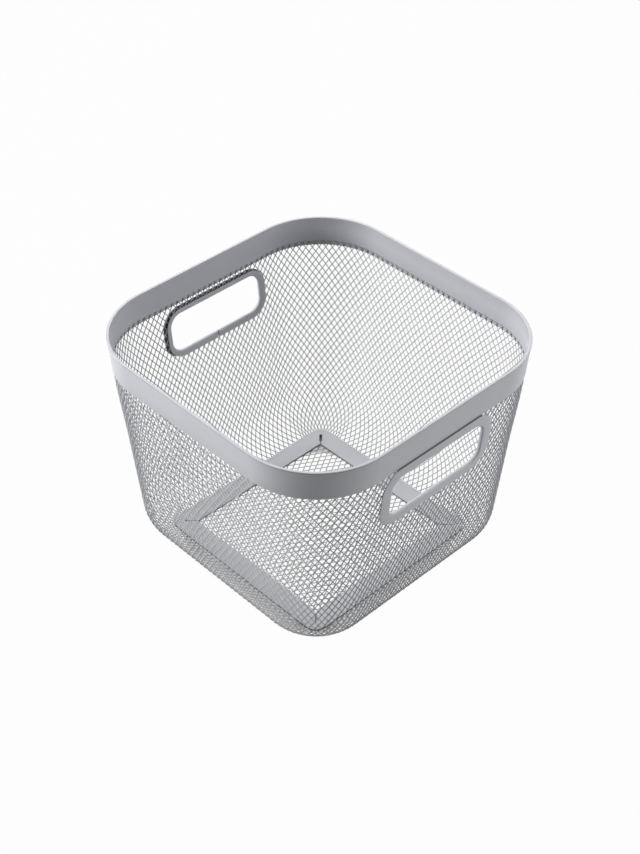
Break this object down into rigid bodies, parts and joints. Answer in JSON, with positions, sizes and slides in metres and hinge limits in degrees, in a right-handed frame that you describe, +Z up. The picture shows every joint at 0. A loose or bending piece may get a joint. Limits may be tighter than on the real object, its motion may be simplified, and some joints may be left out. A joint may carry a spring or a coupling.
{
  "type": "metal mesh basket",
  "caption": "Square, slightly tapered storage basket of open metal mesh, with a folded rim band, framed hand holes in opposite walls and a flat base under a pressed frame.",
  "frame": {"origin": "middle of the base at the level of the surface that the basket stands on", "axes": "+Z up out of the basket's mouth, +X and -X out through the walls with the hand holes, +Y along them"},
  "size_m": [0.2502, 0.2502, 0.19],
  "materials": {
    "mesh_coating": "light grey powder coat on expanded steel",
    "sheet_coating": "light grey powder coat on folded steel sheet"
  },
  "bodies": {
    "root": {"wall_mesh": "mesh_coating", "base_mesh": "mesh_coating", "base_frame": "sheet_coating", "rim_band": "sheet_coating", "grip_ring_right": "sheet_coating", "grip_ring_left": "sheet_coating"}
  },
  "joints": []
}
